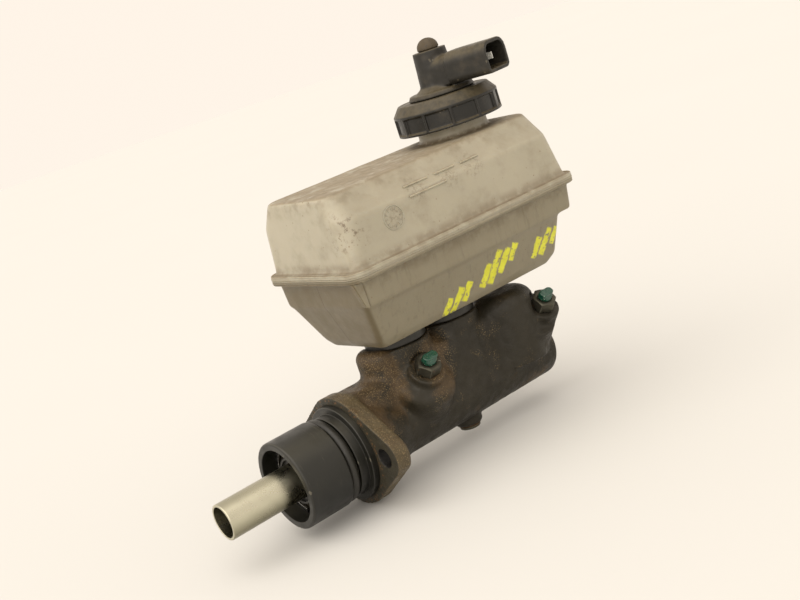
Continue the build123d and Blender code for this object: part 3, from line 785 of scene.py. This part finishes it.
def coil_spring(place, ends, wire, turns, body):
    """A return spring: a coil of wire between its two ends."""
    start, end = ends
    clearance = wire + 0.15
    length = end - start - 2 * clearance
    points_per_turn = 40
    steps = int(turns * points_per_turn)
    path = []
    for k in range(steps + 1):
        angle = 2 * pi * turns * k / steps
        along = start + clearance + length * k / steps
        path.append((along, coil_radius * cos(angle), coil_radius * sin(angle)))
    made = bead(place + "_coil", path, wire, "spring_steel", body)
    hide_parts(place + "_spring")
    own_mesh(made)


def sleeve_end():
    """Sleeve, O-ring, bush, retainer plate, push tube, return springs and circlip."""
    turned(
        "sleeve",
        [
            (sleeve_front, mouth_radius + 0.6, 0.4),
            (sleeve_front, sleeve_radius, 1.2),
            (sleeve_shoulder, sleeve_radius, 0.7),
            (sleeve_shoulder, groove_radius, 0.5),
            (groove_end, groove_radius, 0.5),
            (groove_end, collar_radius, 0.5),
            (collar_end, collar_radius + 0.1, 0.3),
            (collar_end, base_radius, 0.5),
            (base_ring_seat, base_radius, 0.35),
            (base_ring_seat, tail_radius, 0.35),
            (tail_end, tail_radius, 0.35),
            (tail_end, rod_hole_radius, 0.35),
            (bush_seat[1], rod_hole_radius, 0.1),
            (bush_seat[1], bush_seat_radius, 0.1),
            (bush_seat[0], bush_seat_radius, 0.1),
            (bush_seat[0], mouth_radius, 0.2),
            (clip_groove[1], mouth_radius, 0.1),
            (clip_groove[1], clip_groove_radius, 0.1),
            (clip_groove[0], clip_groove_radius, 0.1),
            (clip_groove[0], mouth_radius, 0.1),
        ],
        "black_sleeve", "housing", "guide_sleeve", segments=256,
    )
    ring_middle = (sleeve_shoulder + groove_end) / 2
    spine = groove_radius + ring_section + 0.05
    ring = []
    for k in range(24):
        angle = 2 * pi * k / 24
        ring.append((ring_middle + ring_section * cos(angle), spine + ring_section * sin(angle), 0))
    turned("o_ring", ring, "rubber", "housing", "servo_o_ring", segments=200)
    bush_radius, bush_lip = bush_seat_radius - 0.05, 11.6
    bush_bore, seal_seat = tube_radius + 0.06, 10.2
    lip_end, seal_floor = bush_seat[0] + 0.1, -28.0
    turned(
        "bush",
        [
            (bush_low.x, seal_seat, 0.3), (bush_low.x, bush_lip, 0.6),
            (lip_end, bush_lip, 0.2), (lip_end, bush_radius, 0.2),
            (bush_high.x, bush_radius, 0.2), (bush_high.x, bush_bore, 0.2),
            (seal_floor, bush_bore, 0.2), (seal_floor, seal_seat, 0.1),
        ],
        "bush_plastic", "housing", "guide_bush",
    )
    plate_hole, plate_radius = bush_lip + 0.2, mouth_radius - 0.1
    turned(
        "retainer_plate",
        [
            (plate_low.x, plate_hole, 0.2), (plate_low.x, plate_radius, 0.3),
            (plate_high.x, plate_radius, 0.2), (plate_high.x, plate_hole, 0.2),
        ],
        "steel", "housing", "retainer_washer",
    )
    rear_seal, cup = seal_grooves
    centre_line = 0.02
    turned(
        "push_tube",
        [
            (tube_front, tube_bore, 0.15),
            (tube_front, tube_radius, 0.45),
            (piston_back, tube_radius, 0.2),
            (piston_back, piston_radius, 0.3),
            (rear_seal[0], piston_radius, 0.2),
            (rear_seal[0], seal_groove_radius, 0.1),
            (rear_seal[1], seal_groove_radius, 0.1),
            (rear_seal[1], piston_radius, 0.2),
            (cup[0], piston_radius, 0.2),
            (cup[0], seal_groove_radius, 0.1),
            (cup[1], seal_groove_radius, 0.1),
            (cup[1], piston_radius, 0.2),
            (nose_start, piston_radius, 0.3),
            (nose_start, nose_radius, 0.2),
            (nose_end, nose_radius, 0.3),
            (nose_end, centre_line, 0),
            (tube_floor, centre_line, 0),
            (tube_floor, 1.5, 0.2),
            (tube_floor - 5.0, tube_bore, 0.3),
        ],
        "push_tube_steel", "primary_piston_unit", "primary_piston", segments=200,
    )
    coil_spring("secondary", secondary_spring_ends, 0.75, 7.0, "housing")
    coil_spring("primary", primary_spring_ends, 0.65, 4.5, "secondary_piston_unit")
    clip = Surface("sleeve_circlip", 0.2)
    clip.relax(3)
    clip.piece("circlip", "housing", "spring_steel")


# ---- outlets and stop screw ------------------------------------------------------------------

def hexagon_nut(place):
    """Hexagon union nut with a chamfered crown, standing on its port."""
    flat = nut_across_flats / 2
    crown = flat - 0.2
    base = port_face + 0.1
    top = base + nut_height
    bore = 2.45
    recess_depth = 0.4
    chamfer_slope = 1.7
    rings = []
    for k in range(144):
        angle = 2 * pi * k / 144
        corner = flat / cos((angle + pi / 6) % (pi / 3) - pi / 6)
        corner = min(corner, 1.145 * flat)
        crest = top - max(0.0, (corner - crown) / chamfer_slope)
        outline = (
            (bore, base), (corner - 0.25, base), (corner, base + 0.25),
            (corner, crest - 0.12), (corner - 0.12, crest + 0.02),
            (crown - 0.05, top), (bore + 0.85, top),
            (bore + 0.45, top - recess_depth), (bore, top - recess_depth),
        )
        angle += radians(nut_turns[place])
        ring = []
        for radius, out in outline:
            side, lift = radius * cos(angle), radius * sin(angle)
            ring.append((
                port_positions[place] + side,
                lift * sin(port_tilt) - out * cos(port_tilt),
                lift * cos(port_tilt) + out * sin(port_tilt),
            ))
        rings.append(ring)
    hard_piece("nut_" + place, rings, "nut_steel", "housing", "union_nut_" + place)


def outlets():
    """Hexagon nuts, pinched pipe stubs and the stop screw, with softened edges."""
    for place in ("front", "rear"):
        hexagon_nut(place)
        stub = Surface("brake_pipe_" + place, 0.22)
        stub.relax(8)
        stub.push(0.12 * stub.grain(2.2, 5.5))
        stub.piece("pipe_stub_" + place, "housing", "pipe_green")
    screw = Surface("stop_screw", 0.25)
    screw.relax(2)
    screw.piece("stop_plug", "housing", "nut_steel")


# ---- reservoir -------------------------------------------------------------------------------

def reservoir():
    """Both mouldings with rounded creases and a slight wave in their walls."""
    voxel = 0.62
    passes = 14
    for node, name in (("reservoir_lower", "tank_lower"), ("reservoir_upper", "tank_upper")):
        tank = Surface(node, voxel)
        points = tank.points
        flange = near(points[:, 2], seam_z, 3.2)
        neck = 1 - outside(round_z(points, neck_x), 19.5, 1.0)
        # The seam's flange and the filler neck keep their shape.
        weight = 1 - 0.85 * np.maximum(flange, neck * (points[:, 2] > upper_top - 3))
        tank.fill_corners(passes, weight)
        tank.relax(passes, weight)
        tank.relax(3, 1 - weight)
        wave = 0.22 * tank.grain(34.0, 2.0) + 0.05 * tank.grain(9.0, 6.0)
        tank.push(wave * (1 - neck) - 0.05)
        tank.piece(name, "housing", "reservoir_plastic")


def seam_beads():
    """Weld flash round the joint between the two mouldings."""
    x0, x1 = lower_low.x, lower_high.x
    half = lower_high.y
    # Each row is a bead's inset from the seam's edge, its radius and its height over the seam.
    rows = ((0.45, 0.38, 0.0), (0.7, 0.42, 1.9), (0.7, 0.36, -1.9), (2.6, 0.28, 2.05))
    for k, (inset, radius, rise) in enumerate(rows):
        path = rounded_rectangle(x0 + inset, x1 - inset, half - inset, seam_corner - inset, seam_z + rise)
        wavy = []
        for x, y, z in path:
            lift = 0.10 * noise.noise(Vector((x, y, 7 * k)) / 9)
            wavy.append((x, y, z + lift))
        bead(f"seam_bead_{k + 1}", wavy, radius, "reservoir_plastic", "housing", closed=True)


def near_wall(z):
    """Where a mark's middle lies on the near wall of the upper moulding at a height."""
    if z < shoulder_z:
        wall = -35.3 + 0.2 * (z - seam_z) / (shoulder_z - seam_z)
    else:
        wall = -35.1 + 8.9 * (z - shoulder_z) / (upper_top - shoulder_z)
    return wall - mark_height


def moulded_marks():
    """A plain tick ring and plain raised bars on the near wall of the upper moulding."""
    ring_x, ring_z, radius = 40.7, 96.6, 5.3
    ring = []
    for k in range(48):
        angle = 2 * pi * k / 48
        z = ring_z + radius * sin(angle)
        ring.append((ring_x + radius * cos(angle), near_wall(z), z))
    bead("tick_ring", ring, 0.28, "reservoir_plastic", "housing", closed=True)
    for k in range(12):
        angle = 2 * pi * k / 12
        tick = []
        for reach in (0.62, 0.86):
            z = ring_z + radius * reach * sin(angle)
            tick.append((ring_x + radius * reach * cos(angle), near_wall(z), z))
        bead(f"tick_{k + 1}", tick, 0.2, "reservoir_plastic", "housing")
    bars = ((52, 66, 106.5), (70, 82, 106.5), (86, 97, 106.5), (52, 74, 102.0))
    for k, (x0, x1, z) in enumerate(bars):
        bar = [(x0, near_wall(z), z), (x1, near_wall(z), z)]
        bead(f"plain_bar_{k + 1}", bar, 0.6, "reservoir_plastic", "housing")


def corner_gusset():
    """Small gusset under the seam, at the corner towards the sleeve and the outlets."""
    left = lower_low.x
    top, foot = 77.0, 64.5
    profile = ((left + 0.8, top), (left + 6.0, top), (left + 6.0, foot), (left + 3.6, foot + 1.5))
    build = bmesh.new()
    sides = []
    for y in (-34.5, -31.5):
        sides.append([build.verts.new(Vector((x, y, z)) * MM) for x, z in profile])
    build.faces.new(sides[0])
    build.faces.new(list(reversed(sides[1])))
    for i in range(len(profile)):
        j = (i + 1) % len(profile)
        build.faces.new((sides[0][j], sides[0][i], sides[1][i], sides[1][j]))
    bmesh.ops.recalc_face_normals(build, faces=build.faces)
    bmesh.ops.bevel(build, geom=build.edges[:], offset=0.4 * MM, segments=2, affect="EDGES")
    mesh = bpy.data.meshes.new("corner_gusset")
    build.to_mesh(mesh)
    build.free()
    made = add_object("corner_gusset", mesh, "reservoir_plastic")
    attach(made, "housing")


def grommets():
    """The two rubber bushes that the reservoir's spigots sit in."""
    hole, plug_radius, collar = 8.05, 11.45, 14.9
    ledge = 36.1
    for place, x in inlet_positions.items():
        turned(
            "inlet_bush_" + place,
            [
                (bush_foot, hole, 0.2), (bush_foot, plug_radius, 0.3), (ledge, plug_radius, 0.2),
                (ledge, collar, 0.9), (bush_top, collar, 0.9), (bush_top, hole, 0.2),
            ],
            "rubber", "housing", "inlet_grommet_" + place, upright=x,
        )


# ---- cap and level sensor --------------------------------------------------------------------

def cap_and_sensor():
    """Ribbed cap ring, sensor head with its plug housing, and the test button's dome."""
    ring = Surface("cap_ring", 0.3)
    ring.relax(2)
    ring.piece("cap_grip", "cap_ring_unit", "cap_plastic")
    head = Surface("sensor_body", 0.36)
    # Only the post's foot and the plug housing's root get soft inside corners.
    weight = outside(-round_z(head.points, neck_x), -14, 1.0)
    head.fill_corners(16, weight)
    head.relax(4)
    head.push(0.04 * head.grain(2.0, 1.5))
    head.piece("sensor_head", "sensor_unit", "cap_plastic")
    dome = Surface("test_dome", 0.22)
    dome.relax(5)
    dome.piece("test_button_dome", "test_button", "rubber")


# ---- camera, light and floor -----------------------------------------------------------------

def studio():
    """Camera at the photograph's angle, pale floor and soft light."""
    camera_place = (-0.2414, -0.4491, 0.17658)
    lens_camera = bpy.data.cameras.new("camera")
    lens_camera.sensor_width = 36.0
    lens_camera.lens = 52.73
    camera = bpy.data.objects.new("camera", lens_camera)
    right = Vector((0.75417, -0.58006, -0.30781)).normalized()
    forward = Vector((0.53472, 0.81456, -0.2249)).normalized()
    up = right.cross(forward)
    turn = Matrix((right, up, -forward)).transposed().to_4x4()
    camera.matrix_world = Matrix.Translation(camera_place) @ turn
    bpy.context.scene.collection.objects.link(camera)
    bpy.context.scene.camera = camera

    build = bmesh.new()
    middle = Vector((0.04, 0, (casting_low.z - 0.2) * MM))
    spot = Matrix.Translation(middle)
    floor_radius = 6.0
    bmesh.ops.create_circle(build, cap_ends=True, segments=64, radius=floor_radius, matrix=spot)
    mesh = bpy.data.meshes.new("floor")
    build.to_mesh(mesh)
    build.free()
    floor = bpy.data.objects.new("floor", mesh)
    bpy.context.scene.collection.objects.link(floor)
    pale = Finish("pale_floor", roughness=1.0, Specular_IOR_Level=0.0)
    pale.colour(pale.blend(pale.noise(400, 2), (0.650, 0.647, 0.627), (0.665, 0.660, 0.640)))
    mesh.materials.append(pale.material)

    lamp = bpy.data.lights.new("key", "SUN")
    lamp.energy = 2.2
    lamp.angle = radians(100)
    lamp.color = (1.0, 0.95, 0.88)
    holder = bpy.data.objects.new("key", lamp)
    holder.rotation_euler = Vector((0.80, 0.38, -1.05)).to_track_quat("-Z", "Y").to_euler()
    bpy.context.scene.collection.objects.link(holder)

    world = bpy.data.worlds.new("world")
    world.use_nodes = True
    background = world.node_tree.nodes["Background"]
    background.inputs["Color"].default_value = (1.0, 0.908, 0.805, 1)
    background.inputs["Strength"].default_value = 1.0
    bpy.context.scene.world = world
    bpy.context.scene.view_settings.view_transform = "Standard"


def dress_cad_nodes():
    """Gives every CAD node that still shows its slot's finish."""
    slots = {part["node"]: part["material_slot"] for part in frame["record"]["subparts"]}
    for node, made in frame["nodes"].items():
        made.data.materials.clear()
        made.data.materials.append(materials[slots[node]])


dress_cad_nodes()
casting()
sleeve_end()
outlets()
reservoir()
seam_beads()
moulded_marks()
corner_gusset()
grommets()
cap_and_sensor()
studio()
